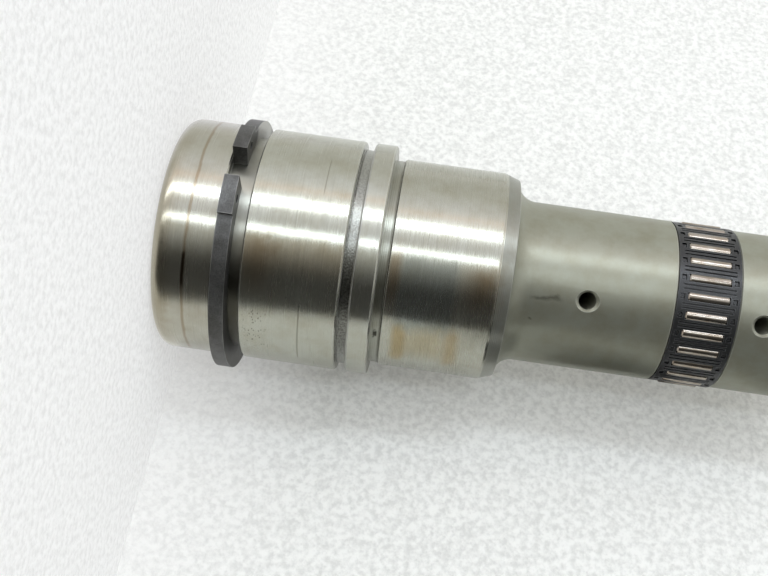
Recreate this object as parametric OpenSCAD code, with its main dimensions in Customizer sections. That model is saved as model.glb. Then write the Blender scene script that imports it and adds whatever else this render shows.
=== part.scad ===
// Main shaft of a gearbox, standing on its large end with its axis along +Z.
// From the large end up it has an end journal, a snap ring in a wide groove, the main journal,
// a narrow collar between two grooves, a gear seat with a long chamfer and a round shoulder,
// and a spindle with oil holes that carries a caged needle bearing in a recess.

/* [Journals] */
// Diameter of the end journal, the main journal and the collar
journal_d = 55; // [53:0.5:58]
// Length of the end journal, from the large end to the snap ring's groove
head_l = 14; // [10:0.1:20]
// Length of the main journal
journal_l = 21.9; // [15:0.1:30]
// Length of the narrow collar
collar_l = 5.1; // [3:0.1:8]
// Radius that rounds off the large end
end_round = 3; // [1:0.1:4]
// Break on the sharp edges
edge_break = 0.3; // [0.1:0.05:0.5]

/* [Grooves] */
// Width of the snap ring's groove
ring_groove_w = 6.1; // [5:0.1:9]
// Depth of the snap ring's groove
ring_groove_h = 2.5; // [2:0.1:3]
// Width of the groove between main journal and collar
collar_groove_w = 2.4; // [1.5:0.1:4]
// Depth of the groove between main journal and collar
collar_groove_h = 1.8; // [1:0.1:2.5]
// Width of the relief between collar and gear seat
relief_w = 2.2; // [1.5:0.1:4]
// Depth of the relief below the gear seat
relief_h = 0.5; // [0.3:0.05:1]

/* [Gear seat] */
// Diameter of the gear seat
seat_d = 49.4; // [48:0.2:51]
// Length of the gear seat up to its long chamfer
seat_l = 23.8; // [18:0.1:30]
// Length of the long chamfer
seat_chamfer_l = 3.4; // [2:0.1:4]
// Height of the long chamfer
seat_chamfer_h = 1.2; // [0.6:0.1:1.6]
// Radius of the round shoulder that leads down to the spindle
shoulder_round = 4.5; // [2:0.1:5]

/* [Spindle] */
// Diameter of the spindle
spindle_d = 38; // [36:0.5:40]
// Length of the spindle from the shoulder to the needle bearing
spindle_l = 36.7; // [25:0.1:45]
// Length of the tail past the needle bearing
tail_l = 32.6; // [20:0.1:60]
// Step down in radius from the spindle to the tail
tail_step = 0.25; // [0.1:0.05:1]
// Chamfer at the tail's end
tail_chamfer = 1.5; // [0.5:0.1:2.5]

/* [Oil ways] */
// Diameter of the radial oil holes
oil_hole_d = 4; // [3:0.1:5]
// Diameter of the countersink at an oil hole's mouth
oil_sink_d = 5.3; // [5.1:0.1:7]
// Distance of the lower oil hole from the shoulder
oil_low = 17.5; // [10:0.1:22]
// Distance of the upper oil hole from the needle bearing
oil_high = 5.8; // [4:0.1:10]
// Direction of the oil holes round the axis, in degrees
oil_turn = -82; // [-180:1:180]
// Diameter of the oil gallery along the axis
gallery_d = 8; // [6:0.5:12]
// How far the gallery runs past the lower oil hole
gallery_past = 6; // [4:0.5:10]

/* [Snap ring] */
// Thickness of the ring along the shaft
ring_t = 3.3; // [2:0.1:4]
// Height of the ring's back, opposite its gap, above the groove floor
ring_back_h = 6.2; // [5.5:0.1:7]
// Height of the ring beside its lugs above the groove floor
ring_front_h = 3.7; // [3.2:0.1:4.4]
// Height of the lugs above the groove floor
lug_h = 5.3; // [4.8:0.1:7]
// Angle that one lug covers, in degrees
lug_span = 17; // [12:1:24]
// Angle of the gap between the lugs, in degrees
ring_gap = 15; // [8:1:30]
// Direction of the gap round the axis, in degrees
ring_turn = -124; // [-180:1:180]
// Diameter of the plier holes in the lugs
plier_d = 2; // [1.2:0.1:2.6]
// Clearance of the ring to the groove's floor and lower wall
ring_seat_gap = 0.05; // [0.02:0.01:0.1]

/* [Needle bearing] */
// Number of needles
needle_n = 28; // [20:1:30]
// Diameter of a needle
needle_d = 2.5; // [2:0.1:2.6]
// Length of a needle
needle_l = 9.2; // [6:0.1:12]
// Height of the needles above the spindle's surface
needle_rise = 0.25; // [0.1:0.05:0.4]
// Turn of the first needle round the axis, in degrees
needle_turn = -95; // [-180:1:180]
// Width of one end ring of the cage, past the needles
cage_rim = 2.2; // [1.9:0.1:3]
// Depth of the cage's outer surface below the spindle's surface
cage_sink = 0.05; // [0.02:0.01:0.15]
// Clearance of the cage over the raceway
cage_float = 0.33; // [0.25:0.01:0.5]
// Running clearance of a needle on the raceway
race_gap = 0.03; // [0.01:0.01:0.08]
// Running clearance of a needle in its pocket
pocket_gap = 0.05; // [0.02:0.01:0.09]
// Clearance at the ends of the needles and of the cage
end_gap = 0.1; // [0.05:0.01:0.2]
// Width of the cut that lets the cage be opened over the shaft
split_w = 0.4; // [0.2:0.05:0.5]

/* [Cage relief] */
// Length of the small window past each needle end
window_l = 1.1; // [0.6:0.1:1.2]
// Width of the small window
window_w = 1.3; // [0.8:0.1:1.6]
// Depth of the small window
window_h = 0.6; // [0.3:0.05:0.8]
// Diameter of the stud in the window
stud_d = 0.7; // [0.4:0.05:0.7]
// Width of one channel along a bar
channel_w = 0.45; // [0.3:0.05:0.5]
// Depth of one channel along a bar
channel_h = 0.4; // [0.2:0.05:0.5]
// Width of the rib between the two channels of a bar
channel_rib = 0.5; // [0.4:0.05:0.6]

/* [Hidden] */
$fn = 96;
// How far a cutting shape reaches past the surface it cuts
over = 1;

journal_r = journal_d / 2;
seat_r = seat_d / 2;
spindle_r = spindle_d / 2;
tail_r = spindle_r - tail_step;
ring_floor_r = journal_r - ring_groove_h;
collar_floor_r = journal_r - collar_groove_h;
relief_r = seat_r - relief_h;
shoulder_r = seat_r - seat_chamfer_h;
// The round takes up the shoulder's height at the most
fillet_r = min(shoulder_round, shoulder_r - spindle_r);

// Heights of the steps above the large end
journal_z = head_l + ring_groove_w;
collar_groove_z = journal_z + journal_l;
collar_z = collar_groove_z + collar_groove_w;
relief_z = collar_z + collar_l;
seat_z = relief_z + relief_w;
chamfer_z = seat_z + seat_l;
shoulder_z = chamfer_z + seat_chamfer_l;
recess_z = shoulder_z + spindle_l;
cage_z = recess_z + end_gap;
pocket_z = cage_z + cage_rim;
needle_z = pocket_z + end_gap;
pocket_l = needle_l + 2 * end_gap;
cage_l = pocket_l + 2 * cage_rim;
tail_z = cage_z + cage_l + end_gap;
shaft_l = tail_z + tail_l;

// Needle bearing across the axis
needle_r = needle_d / 2;
pitch_r = spindle_r + needle_rise - needle_r;
race_r = pitch_r - needle_r - race_gap;
cage_outer_r = spindle_r - cage_sink;
cage_inner_r = race_r + cage_float;
pocket_r = needle_r + pocket_gap;
needle_step = 360 / needle_n;
// Bar of the cage that carries the cut, on the far side from the first needle
split_bar = floor(needle_n / 2);
needle_break = needle_d / 10;

// Oil ways
oil_low_z = shoulder_z + oil_low;
oil_high_z = tail_z + oil_high;
gallery_z = oil_low_z - gallery_past;
sink_h = (oil_sink_d - oil_hole_d) / 2;
drill_tip = gallery_d / 2 * tan(31);

// Snap ring
ring_bore_r = ring_floor_r + ring_seat_gap;
ring_z = head_l + ring_seat_gap;
// The outer circle is shifted away from the gap, which thickens the ring's back
ring_r = ring_floor_r + (ring_back_h + ring_front_h) / 2;
ring_shift = (ring_back_h - ring_front_h) / 2;
lug_r = ring_floor_r + lug_h;
plier_r = (ring_bore_r + lug_r) / 2;

function needle_name(k) = str("needle_", k < 10 ? "0" : "", k);
function needle_angle(k) = needle_turn + (k - 1) * needle_step;
// Outline of one step of a turned piece, with a break at either edge
function step_edge(r, z0, z1, break0 = 0, break1 = 0) = concat(
    break0 > 0 ? [[r - break0, z0], [r, z0 + break0]] : [[r, z0]],
    break1 > 0 ? [[r, z1 - break1], [r - break1, z1]] : [[r, z1]]
);

// Wedge from the axis outward, for cuts by angle
module wedge(r, from, to) {
    mid = (from + to) / 2;
    polygon([[0, 0], r * [cos(from), sin(from)], r * [cos(mid), sin(mid)], r * [cos(to), sin(to)]]);
}

// Half section of the shaft, with a true arc at the large end and at the shoulder
module shaft_section() {
    difference() {
        union() {
            polygon(concat(
                [[0, 0]],
                step_edge(journal_r, 0, head_l, end_round, edge_break),
                step_edge(ring_floor_r, head_l, journal_z),
                step_edge(journal_r, journal_z, collar_groove_z, edge_break, edge_break),
                step_edge(collar_floor_r, collar_groove_z, collar_z),
                step_edge(journal_r, collar_z, relief_z, edge_break, edge_break),
                step_edge(relief_r, relief_z, seat_z),
                step_edge(seat_r, seat_z, chamfer_z, edge_break),
                [[shoulder_r, shoulder_z], [spindle_r + fillet_r, shoulder_z]],
                step_edge(spindle_r, shoulder_z + fillet_r, recess_z, 0, edge_break),
                step_edge(race_r, recess_z, tail_z),
                step_edge(tail_r, tail_z, shaft_l, edge_break, tail_chamfer),
                [[0, shaft_l]]
            ));
            translate([journal_r - end_round, end_round]) circle(r = end_round);
        }
        translate([spindle_r + fillet_r, shoulder_z + fillet_r]) circle(r = fillet_r);
    }
}

// Radial oil hole from the gallery to the surface at radius r, with a countersunk mouth
module oil_hole(r, z) {
    translate([0, 0, z]) rotate([0, 90, oil_turn]) {
        cylinder(d = oil_hole_d, h = r + over);
        translate([0, 0, r - sink_h])
            cylinder(d1 = oil_hole_d, d2 = oil_sink_d + 2 * over, h = sink_h + over);
    }
}

module main_shaft() {
    color([0.74, 0.74, 0.72]) difference() {
        rotate_extrude() shaft_section();
        translate([0, 0, gallery_z]) cylinder(d = gallery_d, h = shaft_l - gallery_z + over);
        translate([0, 0, gallery_z - drill_tip]) cylinder(d1 = 0, d2 = gallery_d, h = drill_tip);
        oil_hole(spindle_r, oil_low_z);
        oil_hole(tail_r, oil_high_z);
    }
}

// Open ring, thickest opposite its gap, with a raised lug and a plier hole at each end
module snap_ring() {
    color([0.30, 0.30, 0.30]) translate([0, 0, ring_z]) rotate([0, 0, ring_turn])
        linear_extrude(ring_t) difference() {
            union() {
                translate([-ring_shift, 0]) circle(r = ring_r);
                for (side = [-1, 1]) intersection() {
                    circle(r = lug_r);
                    wedge(2 * lug_r, side * ring_gap / 2, side * (ring_gap / 2 + lug_span));
                }
            }
            circle(r = ring_bore_r);
            wedge(2 * lug_r, -ring_gap / 2, ring_gap / 2);
            for (side = [-1, 1])
                rotate(side * (ring_gap + lug_span) / 2) translate([plier_r, 0]) circle(d = plier_d);
        }
}

// Shallow window past a needle's end, with a round stud on its floor
module cage_window() {
    difference() {
        translate([cage_outer_r - window_h, -window_w / 2, -window_l / 2])
            cube([window_h + over, window_w, window_l]);
        translate([cage_outer_r - window_h - over, 0, 0]) rotate([0, 90, 0])
            cylinder(d = stud_d, h = window_h / 2 + over, $fn = 24);
    }
}

// Two channels along the outside of a bar, with a rib between them
module bar_channels() {
    for (side = [-1, 1])
        translate([cage_outer_r - channel_h, side * (channel_rib + channel_w) / 2 - channel_w / 2, pocket_z - window_l])
            cube([channel_h + over, channel_w, pocket_l + 2 * window_l]);
}

// Split cage whose round pockets are a little narrower at the outside than the needles
module needle_cage() {
    color([0.10, 0.11, 0.13]) difference() {
        translate([0, 0, cage_z]) cylinder(r = cage_outer_r, h = cage_l);
        translate([0, 0, cage_z - over]) cylinder(r = cage_inner_r, h = cage_l + 2 * over);
        for (k = [1:needle_n]) rotate([0, 0, needle_angle(k)]) {
            translate([pitch_r, 0, pocket_z]) cylinder(r = pocket_r, h = pocket_l);
            for (z = [cage_z + cage_rim / 2, cage_z + cage_l - cage_rim / 2])
                translate([0, 0, z]) cage_window();
        }
        for (k = [1:needle_n]) if (k != split_bar)
            rotate([0, 0, needle_angle(k + 0.5)]) bar_channels();
        rotate([0, 0, needle_angle(split_bar + 0.5)]) translate([cage_inner_r - over, -split_w / 2, cage_z - over])
            cube([cage_outer_r - cage_inner_r + 2 * over, split_w, cage_l + 2 * over]);
    }
}

// One needle in its pocket, with a small break at both ends
module needle(k) {
    color([0.85, 0.82, 0.78]) rotate([0, 0, needle_angle(k)]) translate([pitch_r, 0, needle_z])
        rotate_extrude() polygon(concat(
            [[0, 0]],
            step_edge(needle_r, 0, needle_l, needle_break, needle_break),
            [[0, needle_l]]
        ));
}

main_shaft();
snap_ring();
needle_cage();
for (k = [1:needle_n]) needle(k);
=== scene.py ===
# %% [markdown]
# A gearbox main shaft, dressed for its picture.
# The shaft was turned, hardened and ground. It carries one snap ring and one caged needle bearing.
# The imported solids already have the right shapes, so this lesson gives them their finishes, a stage,
# light and a camera, and models nothing twice.

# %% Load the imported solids
import math

import bpy
from mathutils import Matrix, Vector


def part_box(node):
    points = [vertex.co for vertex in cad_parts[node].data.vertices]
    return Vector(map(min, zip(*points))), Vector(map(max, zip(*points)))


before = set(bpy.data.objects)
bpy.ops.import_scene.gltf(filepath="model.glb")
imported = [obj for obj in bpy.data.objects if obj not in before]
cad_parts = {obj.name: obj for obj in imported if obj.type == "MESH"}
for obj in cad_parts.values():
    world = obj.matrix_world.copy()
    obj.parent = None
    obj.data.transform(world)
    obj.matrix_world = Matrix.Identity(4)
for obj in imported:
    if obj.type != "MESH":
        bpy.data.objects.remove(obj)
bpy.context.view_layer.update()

scene = bpy.context.scene
scene.view_settings.view_transform = "Standard"
shaft_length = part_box("main_shaft")[1].z
print(f"{len(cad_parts)} solids, shaft {shaft_length * 1000:.1f} mm long")

# %% [markdown]
# The camera stands a forearm's length in front of the shaft and leans on its side, so that the standing
# shaft runs across the picture and a little downhill. Its place could be found by eye. Here it comes
# from fitting a pinhole camera to the straight edges and ellipses of the real shaft, so the outlines
# fall where they should without any shift of the lens.

# %% Camera
eye = Vector((0.00223, -0.24993, 0.05913))
aim = Vector((0.00648, 0.0, 0.05068))
picture_right = Vector((-0.1423, 0.0359, 0.9892))
focal_pixels, picture_width, sensor_width = 1038.9, 768, 36

back = (eye - aim).normalized()
up = back.cross(picture_right).normalized()
right = up.cross(back)
camera = bpy.data.objects.new("camera", bpy.data.cameras.new("camera"))
camera.data.sensor_width = sensor_width
camera.data.lens = sensor_width * focal_pixels / picture_width
camera.data.clip_start = 0.01
camera.matrix_world = Matrix.Translation(eye) @ Matrix((right, up, back)).transposed().to_4x4()
scene.collection.objects.link(camera)
scene.camera = camera
print(f"camera {(eye - aim).length * 1000:.0f} mm away, lens {camera.data.lens:.1f} mm")

# %% [markdown]
# Three helpers serve every finish. Colours are written as the hex values that a paint program shows,
# and one function turns them to the linear light that Blender mixes. One adds a node to a tree, sets
# its properties and links or sets its inputs. The last one starts a material with an empty tree.
# Inputs go by name, or by number where a node has several of one name: a Mix node's numbers are its
# inputs 2 and 3, its colours are 6 and 7, and its mixed colour is output 2.

# %% Helpers for colours and nodes
def linear(hex_colour):
    """Linear red, green, blue and alpha of an sRGB hex colour."""
    parts = [int(hex_colour[i:i + 2], 16) / 255 for i in (1, 3, 5)]
    return [p / 12.92 if p <= 0.04045 else ((p + 0.055) / 1.055) ** 2.4 for p in parts] + [1.0]


def add(tree, kind, settings=None, inputs=None, stops=()):
    """One new node, with its properties set, its inputs linked or set, and its ramp's stops."""
    made = tree.nodes.new("ShaderNode" + kind)
    for name, value in (settings or {}).items():
        setattr(made, name, value)
    for key, value in (inputs or {}).items():
        if isinstance(value, bpy.types.Node):
            value = value.outputs[0]
        if isinstance(value, bpy.types.NodeSocket):
            tree.links.new(value, made.inputs[key])
        else:
            made.inputs[key].default_value = value
    for i, (place, colour) in enumerate(stops):
        elements = made.color_ramp.elements
        element = elements[i] if i < 2 else elements.new(place)
        element.position, element.color = place, colour
    return made


def new_material(name):
    """A material with an empty node tree. A packed one of that name is dressed anew."""
    made = bpy.data.materials.get(name) or bpy.data.materials.new(name)
    made.use_nodes = True
    made.node_tree.nodes.clear()
    return made, made.node_tree


# Settings that many nodes share
times, times_plus = {"operation": "MULTIPLY"}, {"operation": "MULTIPLY_ADD"}
mixed, tinted = {"data_type": "RGBA"}, {"data_type": "RGBA", "blend_type": "MULTIPLY"}
clear_white = (1, 1, 1, 1)
print("mid grey #808080 is", [round(v, 3) for v in linear("#808080")[:3]], "in linear light")

# %% [markdown]
# The stage. The part stands on its large end, so a pale floor lies under it and a pale sheet hangs close
# behind it, which catches the soft shadow along the shaft's lower side. One bent sheet could serve as
# both. Two flat ones are simpler, and each can have its own grey. The sheet has a front only: from
# behind, the camera looks through it. The floor is kept out of reflections, so that the journals mirror
# only the tent and the sheet.

# %% Stage: floor and sheet
def stage_piece(name, corners, faces, finish):
    """One object of the stage, which isn't part of the shaft."""
    mesh = bpy.data.meshes.new(name)
    mesh.from_pydata(corners, [], faces)
    mesh.materials.append(finish)
    piece = bpy.data.objects.new(name, mesh)
    scene.collection.objects.link(piece)
    return piece


sheet_normal = Vector((-0.559, -0.829, 0)).normalized()
along = Vector((0, 0, 1)).cross(sheet_normal)
behind_shaft = sheet_normal * -0.0315
sheet_corners = [behind_shaft + along * a + Vector((0, 0, z))
                 for a, z in ((-1, 0), (0.4, 0), (0.4, 1), (-1, 1))]
floor_corners = [(-1, -1, 0), (1, -1, 0), (1, 1, 0), (-1, 1, 0)]
# Polyester fleece: matt white, with curls of about 1.5 mm that break it up into soft grey specks.
# The sheet lies square to the lamps, so it takes a slightly greyer fleece to look as white as the floor.
# The last number is the share that the camera sees as plain white: half of the floor, and of the sheet
# half where it meets the floor but little from 40 mm up, so that the seam fades and the shadow stays
curl, seam_height, seam_share = 0.0015, 0.04, 0.5
for name, corners, dim, light, plain in (("floor", floor_corners, "#D8D9D6", "#FCFDFB", seam_share),
                                         ("sheet", sheet_corners, "#DEDED9", "#F8F8F3", 0.1)):
    fleece, tree = new_material("white_fleece_" + name)
    place = add(tree, "TexCoord").outputs["Object"]
    curls = add(tree, "TexNoise", {}, {"Vector": place, "Scale": 1 / curl, "Detail": 3.0, "Roughness": 0.6})
    hills = add(tree, "Bump", {}, {"Height": curls, "Distance": 0.0005, "Strength": 0.7})
    tint = add(tree, "ValToRGB", {}, {"Fac": curls}, [(0.35, linear(dim)), (0.6, linear(light))])
    matt = add(tree, "BsdfDiffuse", {}, {"Color": tint, "Normal": hills})
    glow = add(tree, "Emission", {}, {"Color": clear_white, "Strength": 1.0})
    up_sheet = add(tree, "SeparateXYZ", {}, {"Vector": place}).outputs["Z"]
    share = add(tree, "MapRange", {}, {"Value": up_sheet, "From Max": seam_height,
                                       "To Min": seam_share, "To Max": plain})
    # What the camera sees as white, metal mirrors as white too
    rays, larger = add(tree, "LightPath").outputs, {"operation": "MAXIMUM"}
    mirrored = add(tree, "Math", larger, {0: rays["Is Glossy Ray"], 1: rays["Is Transmission Ray"]})
    seen = add(tree, "Math", larger, {0: rays["Is Camera Ray"], 1: mirrored})
    white = add(tree, "MixShader", {}, {0: add(tree, "Math", times, {0: seen, 1: share}), 1: matt, 2: glow})
    # Seen from behind, the fleece is clear
    behind = add(tree, "NewGeometry").outputs["Backfacing"]
    front_only = add(tree, "MixShader", {}, {0: behind, 1: white, 2: add(tree, "BsdfTransparent")})
    add(tree, "OutputMaterial", {}, {"Surface": front_only})
    piece = stage_piece(name, corners, [(0, 1, 2, 3)], fleece)
    piece.visible_glossy = name == "sheet"
    print(name, "faces", [round(v, 2) for v in piece.data.polygons[0].normal])

# %% [markdown]
# The room. Polished steel shows the room more than itself. The room is plain white. A wide round tent of
# pale cloth stands in it, as one is hung round shiny metal for pictures. It glows most near its lamps and
# darkens towards the unlit side in front of the shaft, which gives the journals their dark band. The
# camera looks through its cloth. The levels could be painted by hand. A ramp by angle does it here,
# because a straight shaft mirrors one angle along each of its lines.

# %% Light: a white room and a round tent
def angle_round_shaft(tree, place):
    """A point's angle round the shaft in degrees, from the camera's side towards the picture's top."""
    axes = add(tree, "SeparateXYZ", {}, {"Vector": place}).outputs
    minus_x, minus_y = [add(tree, "Math", times, {0: axes[i], 1: -1.0}) for i in (0, 1)]
    turn = add(tree, "Math", {"operation": "ARCTAN2"}, {0: minus_x, 1: minus_y})
    return add(tree, "Math", {"operation": "DEGREES"}, {0: turn})


world = bpy.data.worlds.new("white_room")
scene.world = world
world.use_nodes = True
world.node_tree.nodes["Background"].inputs["Color"].default_value = clear_white

# Each direction's angle and brightness. Dim cloth is a little warm and the brightest a little cool, as
# its lamps are, and one stop makes a warm line beside the upper strip. The ramp holds half of each level
# and the emission doubles it
levels = [(-180, 0.90), (-76, 0.90), (-66, 0.09), (-30, 0.07), (-22, 0.11), (-14, 0.23), (-6, 0.43),
          (0, 0.64), (7, 0.98), (24, 1.02), (34, 1.30), (46, 1.60), (54, 1.55), (62, 1.35), (72, 1.18),
          (88, 0.96), (104, 0.88), (122, 0.94), (144, 1.02), (180, 0.90)]
colours = [(angle, (level, level, level * (1.05 if level > 1 else 0.97))) for angle, level in levels]
colours.append((57, (1.68, 1.36, 1.20)))
stops = [((angle + 180) / 360, [value / 2 for value in colour] + [1]) for angle, colour in colours]
tent_cloth, tree = new_material("pale_tent_cloth")
angle = angle_round_shaft(tree, add(tree, "TexCoord").outputs["Object"])
share = add(tree, "MapRange", {}, {"Value": angle, "From Min": -180.0, "From Max": 180.0})
ramp = add(tree, "ValToRGB", {}, {"Fac": share}, stops)
add(tree, "OutputMaterial", {}, {"Surface": add(tree, "Emission", {}, {"Color": ramp, "Strength": 2.0})})

tent_radius, tent_half_height, panels = 3.0, 5.0, 48
turns = [2 * math.pi * i / panels for i in range(panels)]
circle = [Vector((math.cos(turn), math.sin(turn), 0)) * tent_radius for turn in turns]
corners = [corner + Vector((0, 0, z)) for z in (-tent_half_height, tent_half_height) for corner in circle]
faces = [(i, (i + 1) % panels, (i + 1) % panels + panels, i + panels) for i in range(panels)]
stage_piece("tent", corners, faces, tent_cloth).visible_camera = False
print("tent", 2 * tent_radius, "m across, with", len(stops), "levels round the shaft")

# %% [markdown]
# The lamps. Two strips draw the two long bright lines along the shaft, each as wide as its line asks.
# Bright stripes in the tent's ramp could do that too, but lamps keep the edges of the lines sharp. They
# end 0.42 m up, so that the shaft's chamfer doesn't mirror them.

# %% Light: two strips
strip_length, strip_middle, strip_distance, cool_white = 1.2, -0.18, 0.6, (0.90, 1.0, 1.12)
for name, angle, width, watts in (("upper_strip", 41.5, 0.06, 1.8), ("lower_strip", 13.5, 0.042, 1.1)):
    lamp = bpy.data.objects.new(name, bpy.data.lights.new(name, "AREA"))
    lamp.data.shape, lamp.data.size, lamp.data.size_y = "RECTANGLE", width, strip_length
    lamp.data.energy, lamp.data.color = watts, cool_white
    turn = math.radians(angle)
    towards = Vector((math.sin(turn), math.cos(turn), 0))
    lamp.location = towards * -strip_distance + Vector((0, 0, strip_middle))
    lamp.rotation_euler = towards.to_track_quat("-Z", "Y").to_euler()
    scene.collection.objects.link(lamp)
    print(name, "at", angle, "degrees, radiance", round(watts / (math.pi * width * strip_length), 1))

# %% [markdown]
# A black card. One is often set beside shiny metal to keep a bright cloth out of its reflection. This
# one stands before the sheet along the spindle's lower side, which looks dark on the real shaft. Only
# reflections see it, so it throws no shadow and no camera finds it.

# %% Light: a black card for the spindle
# Black flock card: matt, with fibres of about 1 mm that hardly show
card_black, tree = new_material("black_flock_card")
fibres = add(tree, "TexNoise", {}, {"Vector": add(tree, "TexCoord").outputs["Object"], "Scale": 1 / 0.001})
flock = add(tree, "ValToRGB", {}, {"Fac": fibres}, [(0.3, linear("#1A1A18")), (0.7, linear("#2C2C29"))])
add(tree, "OutputMaterial", {}, {"Surface": add(tree, "BsdfDiffuse", {}, {"Color": flock})})
# Two lengths with a gap between them, because the needles mirror the bright cloth there
lengths, near, far = ((0.09, 0.127), (0.148, 0.3)), 0.02, 0.4
before_sheet = behind_shaft + sheet_normal * 0.004
corners = [before_sheet + along * a + Vector((0, 0, z))
           for low, high in lengths for a, z in ((near, low), (far, low), (far, high), (near, high))]
card = stage_piece("card", corners, [(0, 1, 2, 3), (4, 5, 6, 7)], card_black)
card.visible_camera = card.visible_diffuse = card.visible_shadow = card.visible_transmission = False
print("card of", len(lengths), "lengths, seen by reflections only")

# %% [markdown]
# Ground steel. The shaft was turned, hardened and then ground between centres, which leaves fine
# marks round it. They smear every reflection along the shaft and keep it sharp round the shaft, so
# the lamps draw long clean lines. One material serves the whole shaft: a ramp along the axis gives
# each step its own tone and gloss, because the real one is one piece whose steps were finished apart.

# %% Ground steel: where a point lies on the shaft
steel, tree = new_material("ground_steel")
place = add(tree, "TexCoord").outputs["Object"]
normal = add(tree, "NewGeometry").outputs["Normal"]
up_shaft = add(tree, "SeparateXYZ", {}, {"Vector": place}).outputs["Z"]
height = add(tree, "Math", times, {0: up_shaft, 1: 1000.0})
share_of_length = add(tree, "Math", {"operation": "DIVIDE"}, {0: up_shaft, 1: shaft_length})
angle = angle_round_shaft(tree, place)

# Steps of the shaft from the large end up: where each starts in mm, its colour, its roughness, how
# metallic it is (the spindle has a thin dull coat, the rest is bare) and how strong its grinding marks are.
# A groove's own walls belong to it, so a groove starts a little before its wall and ends a little after
steps = [
    (0.0, "#B0AFA3", 0.26, 1.0, 1.0),       # end journal
    (13.9, "#A6A69C", 0.36, 1.0, 0.3),      # snap ring groove
    (20.2, "#B1B2A6", 0.26, 1.0, 1.0),      # main journal
    (41.9, "#A2A39C", 0.30, 1.0, 0.3),      # narrow groove
    (44.5, "#B2B3A8", 0.26, 1.0, 0.8),      # collar
    (49.4, "#9D9E93", 0.36, 1.0, 0.5),      # relief
    (51.8, "#AFAFA3", 0.27, 1.0, 1.0),      # gear seat
    (75.5, "#989990", 0.38, 0.9, 0.3),      # long chamfer
    (78.9, "#9E9F90", 0.49, 0.75, 0.15)]    # shoulder, spindle and tail
tone = add(tree, "ValToRGB", {}, {"Fac": share_of_length},
           [(z / 1000 / shaft_length, linear(step_colour)) for z, step_colour, *_ in steps])
finish = add(tree, "ValToRGB", {}, {"Fac": share_of_length},
             [(z / 1000 / shaft_length, (dull, metal, strength, 1)) for z, _, dull, metal, strength in steps])
for ramp in (tone, finish):
    ramp.color_ramp.interpolation = "CONSTANT"
gloss, bare, marked = add(tree, "SeparateColor", {}, {"Color": finish}).outputs
print(len(steps), "steps on", steel.name)

# %% [markdown]
# Grinding marks. They could be modelled, but they are a few thousandths of a millimetre deep. A noise
# stretched round the shaft changes the gloss and the tone from line to line, as the wheel's grit did.
# A second one leans the surface up to a degree round the shaft, which frays the edges of the reflections.

# %% Ground steel: grinding marks
# The real marks are about 0.05 mm wide. They are drawn 0.28 mm wide and 20 mm long, so that they show
stretched = add(tree, "VectorMath", times, {0: place, 1: (1 / 0.02, 1 / 0.02, 1 / 0.00028)})
marks = add(tree, "TexNoise", {}, {"Vector": stretched, "Scale": 1.0, "Detail": 4.0, "Roughness": 0.6})
grit = add(tree, "Math", {"operation": "SUBTRACT"}, {0: marks, 1: 0.5})
grit = add(tree, "Math", times, {0: grit, 1: marked})
rough = add(tree, "Math", times_plus, {0: grit, 1: 0.10, 2: gloss})
streaks = add(tree, "MapRange", {}, {"Value": grit, "From Min": -0.2, "From Max": 0.05, "To Min": 0.92})
colour = add(tree, "Mix", tinted, {0: 1.0, 6: tone, 7: streaks}).outputs[2]
# Waves that the wheel left: 0.45 mm wide and 8 mm long, leaning up to about 1 degree round the shaft
stretched = add(tree, "VectorMath", times, {0: place, 1: (1 / 0.008, 1 / 0.008, 1 / 0.00045)})
waves = add(tree, "TexNoise", {}, {"Vector": stretched, "Scale": 1.0, "Detail": 3.0})
lean = add(tree, "Math", times_plus, {0: waves, 1: 0.032, 2: -0.016})
lean = add(tree, "Math", times, {0: lean, 1: marked})
round_shaft = add(tree, "Tangent", {"direction_type": "RADIAL", "axis": "Z"})
sideways = add(tree, "VectorMath", {"operation": "SCALE"}, {0: round_shaft, "Scale": lean})
leaning = add(tree, "VectorMath", {"operation": "ADD"}, {0: sideways, 1: normal})
leaning = add(tree, "VectorMath", {"operation": "NORMALIZE"}, {0: leaning})
print("grinding marks drawn 0.28 mm wide")

# %% [markdown]
# Years in a gearbox left their traces: a thin brown film, a line worn round the end journal, and a patch
# burnished blue by heat with straw-coloured edges where a hub sat. Among the tints below are also painted
# shade, the ring's painted shadow and a painted dark reflection. Each is a soft window on the shaft, by
# height and angle, that tints what is there, and a noise makes its edge ragged.

# %% Ground steel: traces of use, painted shade and a painted reflection
def window(tree, value, low, high, soft):
    """1 where a value lies between low and high, fading out over soft on either side."""
    smooth = {"interpolation_type": "SMOOTHSTEP"}
    rise = add(tree, "MapRange", smooth, {"Value": value, "From Min": low - soft, "From Max": low + soft})
    fall = add(tree, "MapRange", smooth, {"Value": value, "From Min": high - soft, "From Max": high + soft,
                                          "To Min": 1.0, "To Max": 0.0})
    return add(tree, "Math", times, {0: rise, 1: fall})


clouds = add(tree, "TexNoise", {}, {"Vector": place, "Scale": 1 / 0.006, "Detail": 5.0, "Roughness": 0.65})
offset = add(tree, "Math", {"operation": "SUBTRACT"}, {0: clouds, 1: 0.5})
ragged_angle = add(tree, "Math", times_plus, {0: offset, 1: 14.0, 2: angle})
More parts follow.
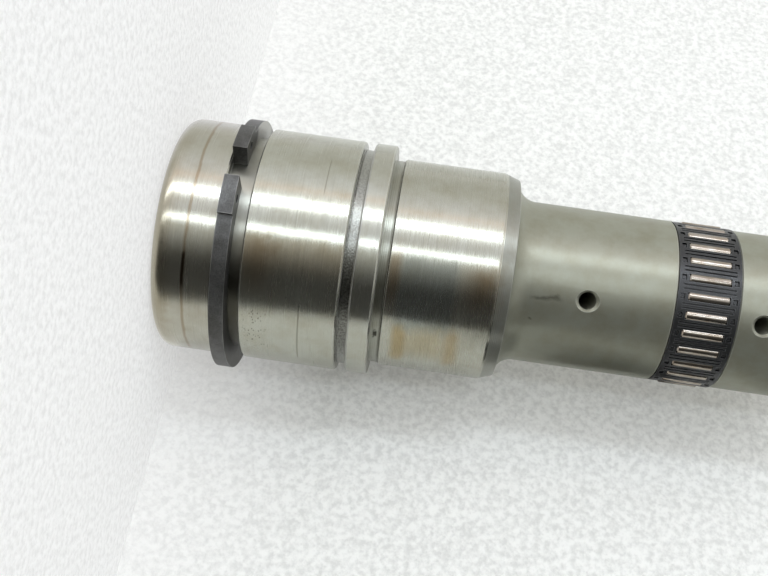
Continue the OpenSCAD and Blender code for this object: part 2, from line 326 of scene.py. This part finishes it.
# Each trace: lowest and highest height in mm, softness and raggedness, lowest and highest angle and
# softness, tint and strength
traces = [
    (7.3, 7.9, 0.25, 0.4, -170, 170, 5, "#DBCDBE", 0.9),       # brown line worn round the end journal
    (7.2, 7.9, 0.2, 0.25, -26, -11, 2, "#6E6258", 0.95),       # its darkest stretch, partly the worn line and partly a painted dark reflection
    (0.3, 4.0, 2.0, 1.5, -60, 40, 20, "#EFE8DE", 0.9),         # brown film at the rounded end
    (20.4, 27.0, 3.0, 2.5, -22, 2, 8, "#E2D5C8", 0.9),         # brown film beside the ring's groove
    (20.2, 41.9, 0.5, 0.3, -12, 2, 5, "#F4EAE0", 0.9),         # a thinner one over the whole main journal
    (54.6, 67.0, 1.2, 1.0, -35, 3, 4, "#E6ECF2", 1.0),         # blue burnish under the hub
    (54.4, 57.4, 1.0, 0.8, -62, -33, 5, "#EAD6B2", 0.9),       # straw edge below it
    (66.3, 69.0, 1.2, 0.8, -62, -33, 5, "#EDDABC", 0.8),       # straw edge on the other side
    (57.0, 66.0, 1.5, 1.2, -56, -33, 8, "#F2E7D2", 0.8),       # pale straw between them
    (69.5, 75.3, 3.0, 3.0, -17, 2, 8, "#DECCBC", 1.0),         # brown film towards the chamfer
    (51.8, 54.4, 1.0, 0.6, -20, 6, 9, "#E0D0C2", 0.95),        # brown film beside the relief
    (84.5, 90.5, 1.2, 1.5, -10.5, -8, 1.5, "#A8A6A2", 0.8),    # dark smear on the spindle
    (84.0, 84.8, 0.3, 0.4, -27, -25.5, 0.8, "#9A9690", 0.8),   # a spot below it
    (50.2, 51.1, 0.2, 0.2, -44, -40, 1, "#3A3630", 0.9),       # dark spot in the relief
    (42.0, 42.5, 0.12, 0.2, -170, 170, 5, "#5A5854", 0.85),    # painted shade in the corner of the narrow groove
    (42.4, 44.5, 0.2, 0.3, -62, 2, 9, "#8E8C86", 0.9),         # the narrow groove's floor made darker from the front downwards
    (51.4, 51.8, 0.12, 0.15, -90, 60, 9, "#8C8880", 0.7),      # a dark line in the corner of the relief
    (13.5, 20.1, 0.1, 0.0, -181, -14, 9, "#8A8882", 0.95),     # oil in the ring's groove, and the ring's painted shadow on its lower side
    (33.5, 33.8, 0.12, 0.1, -64, -26, 3, "#B4B0A8", 0.8),      # a scratch round the main journal
    (35.6, 35.8, 0.12, 0.1, 27, 46, 3, "#C4C0B8", 0.8),        # and a shorter one above
]
for low, high, soft, ragged, angle_low, angle_high, angle_soft, tint, strength in traces:
    ragged_height = add(tree, "Math", times_plus, {0: offset, 1: 2 * ragged, 2: height})
    area = add(tree, "Math", times, {0: window(tree, ragged_height, low, high, soft),
                                     1: window(tree, ragged_angle, angle_low, angle_high, angle_soft)})
    share = add(tree, "Math", times, {0: area, 1: strength})
    colour = add(tree, "Mix", tinted, {0: share, 6: colour, 7: linear(tint)}).outputs[2]
print(len(traces), "traces of use")

# %% [markdown]
# A thin film of oil lies over the whole shaft, and the main journal has a patch of small pits. The film
# is a noise that tints the steel in clouds. Pits could be cut into the solid. They are too small for
# that, so the cells of a Voronoi pattern give each its place, and the tint and the bump follow them.

# %% Ground steel: film and pits
film = add(tree, "ValToRGB", {}, {"Fac": clouds}, [(0.3, linear("#EFECE6")), (0.6, clear_white)])
colour = add(tree, "Mix", tinted, {0: 1.0, 6: colour, 7: film}).outputs[2]
# Pits of about 0.2 by 0.4 mm, spaced 0.6 mm along the shaft and 1.1 mm round it
spaced = add(tree, "VectorMath", times, {0: place, 1: (1 / 0.0011, 1 / 0.0011, 1 / 0.0006)})
dots = add(tree, "TexVoronoi", {}, {"Vector": spaced, "Scale": 1.0})
dot = add(tree, "MapRange", {}, {"Value": dots, "From Min": 0.12, "From Max": 0.32,
                                 "To Min": 1.0, "To Max": 0.0})
# Their patch lies 21.5 to 26.5 mm up the shaft and is as ragged as the traces
patch_ragged = 1.5
ragged_height = add(tree, "Math", times_plus, {0: offset, 1: 2 * patch_ragged, 2: height})
patch = add(tree, "Math", times, {0: window(tree, ragged_height, 21.5, 26.5, 1.5),
                                  1: window(tree, ragged_angle, -60, -33, 6)})
pits = add(tree, "Math", times, {0: dot, 1: patch})
colour = add(tree, "Mix", tinted, {0: pits, 6: colour, 7: linear("#A29B90")}).outputs[2]
print("oil film in clouds of 6 mm, and a patch of pits")

# %% [markdown]
# Turning marks stay where no grinding wheel reached: on the long chamfer and in the relief. They are
# regular rings, so a wave along the axis lifts and lowers the surface there. The narrow groove was cut
# with a blunt tool and is torn all over, so it sparkles: a fine noise makes its flakes.

# %% Ground steel: turning marks and the torn groove
# Tool marks of about 0.2 mm pitch, drawn at 0.42 mm so that they show
phase = add(tree, "Math", times, {0: height, 1: 2 * math.pi / 0.42})
rings = add(tree, "Math", {"operation": "SINE"}, {0: phase})
relief, chamfer = window(tree, height, 49.6, 51.6, 0.1), window(tree, height, 75.7, 78.8, 0.1)
turned = add(tree, "Math", {"operation": "ADD"}, {0: relief, 1: chamfer})
rings = add(tree, "Math", times, {0: rings, 1: turned})
# Torn surface of about 0.4 mm grain on the narrow groove's floor
torn = add(tree, "TexNoise", {}, {"Vector": place, "Scale": 1 / 0.0004, "Detail": 3.0})
groove = window(tree, height, 42.0, 44.4, 0.05)
flakes = add(tree, "MapRange", {}, {"Value": torn, "From Min": 0.38, "From Max": 0.62})
flaked = add(tree, "Mix", mixed, {0: flakes, 6: linear("#5C5C58"), 7: linear("#AEAFA8")}).outputs[2]
share = add(tree, "Math", times, {0: groove, 1: 0.4})
colour = add(tree, "Mix", mixed, {0: share, 6: colour, 7: flaked}).outputs[2]
torn = add(tree, "Math", times, {0: torn, 1: groove})
uneven = add(tree, "Math", times_plus, {0: torn, 1: 7.0, 2: rings})
uneven = add(tree, "Math", times_plus, {0: pits, 1: -1.0, 2: uneven})
bumps = add(tree, "Bump", {}, {"Height": uneven, "Distance": 0.00001, "Strength": 1.0, "Normal": leaning})
print("rings drawn at 0.42 mm, flakes at 0.4 mm")

# %% [markdown]
# Handling rubs every edge dull and pale, and the pale colour is partly wear and partly a painted
# highlight where the edge breaks catch the light. A rubbed edge could be painted by hand. Here the bevel
# node finds it: near an edge its rounded normal turns away from the face's own. The shader then takes
# all that was made. It is anisotropic round the shaft, which is what smears its reflections along it.

# %% Ground steel: rubbed edges with a painted highlight, and the shader
def near_edge(tree, radius, first, full, most=1.0):
    """0 on a face, rising to most at its edges, as the bevel's normal leaves the face's own."""
    soft_normal = add(tree, "Bevel", {"samples": 6}, {"Radius": radius})
    face_normal = add(tree, "NewGeometry").outputs["Normal"]
    same = add(tree, "VectorMath", {"operation": "DOT_PRODUCT"}, {0: soft_normal, 1: face_normal})
    return add(tree, "MapRange", {}, {"Value": same.outputs["Value"],
                                      "From Min": first, "From Max": full, "To Max": most})


# Edges rubbed dull over 0.25 mm and made pale: partly wear, partly a painted highlight
rubbed_highlit_edge = near_edge(tree, 0.00025, 0.995, 0.90, 0.8)
colour = add(tree, "Mix", mixed, {0: rubbed_highlit_edge, 6: colour, 7: linear("#C9C9C0")}).outputs[2]
rough = add(tree, "Mix", {"data_type": "FLOAT"}, {0: rubbed_highlit_edge, 2: rough, 3: 0.62})
bare = add(tree, "Mix", {"data_type": "FLOAT"}, {0: rubbed_highlit_edge, 2: bare, 3: 0.35})
shader = add(tree, "BsdfPrincipled", {}, {
    "Base Color": colour, "Metallic": bare, "Roughness": rough, "Normal": bumps,
    "Anisotropic": 0.75, "Anisotropic Rotation": 0.25, "Tangent": round_shaft})
add(tree, "OutputMaterial", {}, {"Surface": shader})
print(steel.name, "has", len(tree.nodes), "nodes")

# %% [markdown]
# The snap ring was stamped from spring steel, bent and phosphated. Phosphate is a coat of fine grey
# crystals, dark and nearly matt, so noises give its grain and its oily clouds. Pliers, the groove and
# the gear beside it have rubbed it bright on its edges.

# %% Phosphated spring steel
phosphate, tree = new_material("phosphated_spring_steel")
place = add(tree, "TexCoord").outputs["Object"]
# Crystals of about 0.02 mm, drawn at 0.3 mm so that they show, and oily clouds of about 4 mm
crystals = add(tree, "TexNoise", {}, {"Vector": place, "Scale": 1 / 0.0003, "Detail": 4.0, "Roughness": 0.7})
clouds = add(tree, "TexNoise", {}, {"Vector": place, "Scale": 1 / 0.004, "Detail": 3.0})
grain = add(tree, "ValToRGB", {}, {"Fac": crystals}, [(0.35, linear("#4E4E4D")), (0.65, linear("#6E6E6C"))])
oil = add(tree, "ValToRGB", {}, {"Fac": clouds}, [(0.35, linear("#C8C6C2")), (0.6, clear_white)])
coat = add(tree, "Mix", tinted, {0: 0.8, 6: grain, 7: oil}).outputs[2]
# Edges rubbed bright over 0.25 mm, more where the clouds are thin
rubbed = add(tree, "Math", times, {0: near_edge(tree, 0.00025, 0.99, 0.85), 1: clouds})
# One spot past the upper lug where the gear beside the ring has rubbed its side bare
ragged_angle = add(tree, "Math", times_plus, {0: clouds, 1: 12.0, 2: angle_round_shaft(tree, place)})
normal = add(tree, "NewGeometry").outputs["Normal"]
upward = add(tree, "SeparateXYZ", {}, {"Vector": normal}).outputs["Z"]
side = add(tree, "MapRange", {}, {"Value": upward, "From Min": 0.8, "From Max": 0.95})
spot = add(tree, "Math", times, {0: window(tree, ragged_angle, 70, 110, 5), 1: side})
rubbed = add(tree, "Math", {"operation": "MAXIMUM"}, {0: rubbed, 1: spot})
coat = add(tree, "Mix", mixed, {0: rubbed, 6: coat, 7: linear("#B4B3AE")}).outputs[2]
dull = add(tree, "MapRange", {}, {"Value": crystals, "From Min": 0.3, "From Max": 0.7,
                                  "To Min": 0.34, "To Max": 0.50})
pores = add(tree, "Bump", {}, {"Height": crystals, "Distance": 0.00004, "Strength": 0.5})
shader = add(tree, "BsdfPrincipled", {}, {
    "Base Color": coat, "Metallic": 0.8, "Roughness": dull, "Normal": pores})
add(tree, "OutputMaterial", {}, {"Surface": shader})
print(phosphate.name, "has", len(tree.nodes), "nodes")

# %% [markdown]
# The cage was moulded from black nylon with glass fibre in it, and it is wet with oil. Such nylon is
# nearly black with a soft shine, and its fibres leave a fine grain. Its channels are painted darker still,
# as shade. The ambient occlusion node finds them, because their walls stand close to each other. Its ribs
# get a grey that is partly rubbing and partly a painted highlight.

# %% Black glass-filled nylon
nylon, tree = new_material("black_glass_filled_nylon")
place = add(tree, "TexCoord").outputs["Object"]
# Fibres of about 0.01 mm, drawn as a grain of 0.2 mm so that they show, and oil spread over about 3 mm
fibres = add(tree, "TexNoise", {}, {"Vector": place, "Scale": 1 / 0.0002, "Detail": 3.0, "Roughness": 0.7})
film = add(tree, "TexNoise", {}, {"Vector": place, "Scale": 1 / 0.003, "Detail": 3.0})
black = add(tree, "ValToRGB", {}, {"Fac": fibres}, [(0.35, linear("#111111")), (0.7, linear("#232424"))])
# Painted shade blackens the channels and the windows, wherever less than 0.6 mm of open air is left
ambient_occlusion = add(tree, "AmbientOcclusion", {"samples": 8, "only_local": True}, {"Distance": 0.0006}).outputs["AO"]
outside_painted_shade = add(tree, "MapRange", {}, {"Value": ambient_occlusion, "From Min": 0.55, "From Max": 0.95})
black = add(tree, "Mix", mixed, {0: outside_painted_shade, 6: linear("#040405"), 7: black}).outputs[2]
# Ribs made grey over 0.15 mm: partly rubbed, partly a painted highlight
rubbed_highlit_edge = near_edge(tree, 0.00015, 0.98, 0.80, 0.6)
black = add(tree, "Mix", mixed, {0: rubbed_highlit_edge, 6: black, 7: linear("#8E8F8F")}).outputs[2]
wet = add(tree, "MapRange", {}, {"Value": film, "From Min": 0.35, "From Max": 0.65,
                                 "To Min": 0.30, "To Max": 0.46})
moulded = add(tree, "Bump", {}, {"Height": fibres, "Distance": 0.00003, "Strength": 0.5})
shader = add(tree, "BsdfPrincipled", {}, {
    "Base Color": black, "Roughness": wet, "Normal": moulded, "IOR": 1.53})
add(tree, "OutputMaterial", {}, {"Surface": shader})
print(nylon.name, "has", len(tree.nodes), "nodes")

# %% [markdown]
# The needles are hardened bearing steel, ground and lapped until they shine. Each rolls in a thin film
# of old oil that tints it brown, and rolling leaves fine bright lines along it, so one noise is
# stretched along the needle and another lies over it in clouds.

# %% Lapped bearing steel
lapped, tree = new_material("lapped_bearing_steel")
place = add(tree, "TexCoord").outputs["Object"]
# Rolling lines of about 0.02 mm, drawn 0.25 mm wide and 8 mm long so that they show
stretched = add(tree, "VectorMath", times, {0: place, 1: (1 / 0.00025, 1 / 0.00025, 1 / 0.008)})
lines = add(tree, "TexNoise", {}, {"Vector": stretched, "Scale": 1.0, "Detail": 3.0, "Roughness": 0.6})
film = add(tree, "TexNoise", {}, {"Vector": place, "Scale": 1 / 0.0025, "Detail": 3.0})
bright = add(tree, "ValToRGB", {}, {"Fac": lines}, [(0.3, linear("#8C847A")), (0.6, linear("#AEA79D"))])
brown = add(tree, "ValToRGB", {}, {"Fac": film}, [(0.35, linear("#E2D8CC")), (0.6, clear_white)])
oiled = add(tree, "Mix", tinted, {0: 0.8, 6: bright, 7: brown}).outputs[2]
shine = add(tree, "MapRange", {}, {"Value": lines, "From Min": 0.3, "From Max": 0.7,
                                   "To Min": 0.24, "To Max": 0.12})
shader = add(tree, "BsdfPrincipled", {}, {"Base Color": oiled, "Metallic": 1.0, "Roughness": shine})
add(tree, "OutputMaterial", {}, {"Surface": shader})
print(lapped.name, "has", len(tree.nodes), "nodes")

# %% [markdown]
# Each solid now gets its finish. The shaft, the ring and the cage have their own, and all the needles
# share one, because they came from one batch.

# %% Give each solid its finish
finishes = {"main_shaft": steel, "snap_ring": phosphate, "needle_cage": nylon}
for name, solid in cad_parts.items():
    solid.data.materials.clear()
    solid.data.materials.append(finishes.get(name, lapped))
print({m.name: sum(m.name == o.data.materials[0].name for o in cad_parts.values())
       for m in (steel, phosphate, nylon, lapped)})
